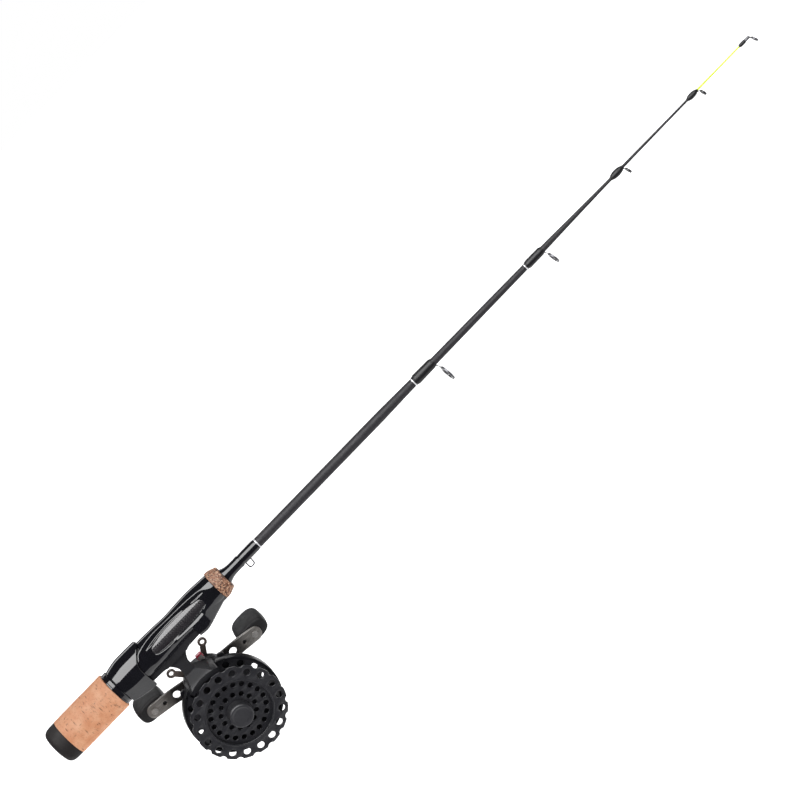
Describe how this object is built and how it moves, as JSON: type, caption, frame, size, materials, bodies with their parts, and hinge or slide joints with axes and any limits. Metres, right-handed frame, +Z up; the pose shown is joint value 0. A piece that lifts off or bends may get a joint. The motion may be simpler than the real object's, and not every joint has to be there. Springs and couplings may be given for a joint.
{
  "type": "ice fishing rod",
  "caption": "Short ice fishing rod with cork grip, windowed reel seat, tapered carbon blank, wire guides, fluorescent tip and a geared inline reel with a drilled spool and paddle knobs.",
  "frame": {"origin": "on the rod's axis, at the middle of the cork grip", "axes": "+X along the rod towards the tip, +Z up away from the reel, -Y towards the open spool face"},
  "size_m": [0.6097, 0.0716, 0.1116],
  "materials": {
    "cork": "natural cork, matt",
    "burl_cork": "granulated cork, matt",
    "end_rubber": "matt dark rubber",
    "seat_gloss": "gloss black moulding",
    "woven_carbon": "woven carbon under clear coat",
    "arbor_foam": "rigid foam",
    "blank_carbon": "unsanded dark grey carbon",
    "tip_glass": "fluorescent yellow-green paint",
    "thread_varnish": "thread under clear varnish",
    "bright_trim": "bright silver",
    "guide_steel": "polished stainless steel",
    "guide_black": "black-plated steel",
    "ring_ceramic": "polished ceramic",
    "reel_black": "satin black coating",
    "spool_black": "satin black anodised",
    "cap_black": "fine matt black",
    "gunmetal": "dark gunmetal, satin",
    "shaft_steel": "turned steel",
    "gear_brass": "machined brass",
    "drag_felt": "oiled friction felt",
    "knob_rubber": "matt dark grey, soft touch",
    "tab_red": "red moulding"
  },
  "bodies": {
    "rod": {"seat_body": "seat_gloss", "seat_tube": "woven_carbon", "seat_arbors": "arbor_foam", "threaded_barrel": "seat_gloss", "fore_ring": "burl_cork", "hosel": "seat_gloss", "hook_keeper": "guide_steel", "keeper_wrap": "thread_varnish", "trim_rings": "bright_trim", "blank": "blank_carbon", "tip_section": "tip_glass", "guide_1_frame": "guide_steel", "guide_1_ring": "ring_ceramic", "guide_1_wrap": "thread_varnish", "guide_2_frame": "guide_steel", "guide_2_ring": "ring_ceramic", "guide_2_wrap": "thread_varnish", "guide_3_frame": "guide_black", "guide_3_ring": "ring_ceramic", "guide_3_wrap": "thread_varnish", "guide_4_frame": "guide_black", "guide_4_ring": "ring_ceramic", "guide_4_wrap": "thread_varnish", "tip_top_frame": "guide_black", "tip_top_ring": "ring_ceramic", "tip_top_wrap": "thread_varnish", "reel_frame": "reel_black", "gear_cover": "reel_black", "cover_screws": "shaft_steel", "shaft_bearings": "shaft_steel", "main_bushes": "gear_brass"},
    "hood": {"sliding_hood": "seat_gloss"},
    "grip": {"butt_cap": "end_rubber", "rear_grip": "cork", "lock_nut": "seat_gloss"},
    "spool": {"spool_face": "spool_black", "spool_drum": "spool_black", "spool_back_flange": "spool_black", "spool_cap": "cap_black", "spool_shaft": "shaft_steel", "pinion": "gear_brass", "click_wheel": "gunmetal"},
    "clicker": {"click_slider": "shaft_steel", "click_pawl": "shaft_steel", "click_tab": "tab_red"},
    "crank": {"main_shaft": "shaft_steel", "drive_gear": "gear_brass", "drag_washers": "drag_felt", "pressure_plate": "shaft_steel", "drag_sleeve": "shaft_steel", "spring_washers": "shaft_steel", "crank_arm": "gunmetal", "crank_nut": "gunmetal", "knob_spindles": "shaft_steel"},
    "star": {"star_wheel": "gunmetal"},
    "tip_side_knob": {"knob_a": "knob_rubber"},
    "butt_side_knob": {"knob_b": "knob_rubber"}
  },
  "joints": [
    {"name": "hood_slide", "type": "slide", "parent": "rod", "child": "hood", "axis": [-1, 0, 0], "range_m": [0, 0.0075]},
    {"name": "grip_turn", "type": "hinge", "parent": "hood", "child": "grip", "pos_m": [0, 0, 0], "axis": [-1, 0, 0], "range_deg": [0, 900]},
    {"name": "crank_turn", "type": "hinge", "parent": "rod", "child": "crank", "pos_m": [0.0615, 0.026, -0.04975], "axis": [0, 1, 0], "continuous": true},
    {"name": "spool_spin", "type": "hinge", "parent": "rod", "child": "spool", "pos_m": [0.0615, 0, -0.067], "axis": [0, 1, 0], "continuous": true},
    {"name": "star_turn", "type": "hinge", "parent": "crank", "child": "star", "pos_m": [0.0615, 0.0245, -0.04975], "axis": [0, 1, 0], "range_deg": [-90, 180]},
    {"name": "knob_a_spin", "type": "hinge", "parent": "crank", "child": "tip_side_knob", "pos_m": [0.10031, 0.044, -0.05597], "axis": [0, 1, 0], "continuous": true},
    {"name": "knob_b_spin", "type": "hinge", "parent": "crank", "child": "butt_side_knob", "pos_m": [0.02269, 0.044, -0.04353], "axis": [0, 1, 0], "continuous": true},
    {"name": "click_slide", "type": "slide", "parent": "rod", "child": "clicker", "axis": [0, 0, -1], "range_m": [0, 0.0016]}
  ],
  "couplings": [
    {"joint": "hood_slide", "follows": "grip_turn", "m_per_rad": 0.000477},
    {"joint": "spool_spin", "follows": "crank_turn", "ratio": -3.6}
  ]
}
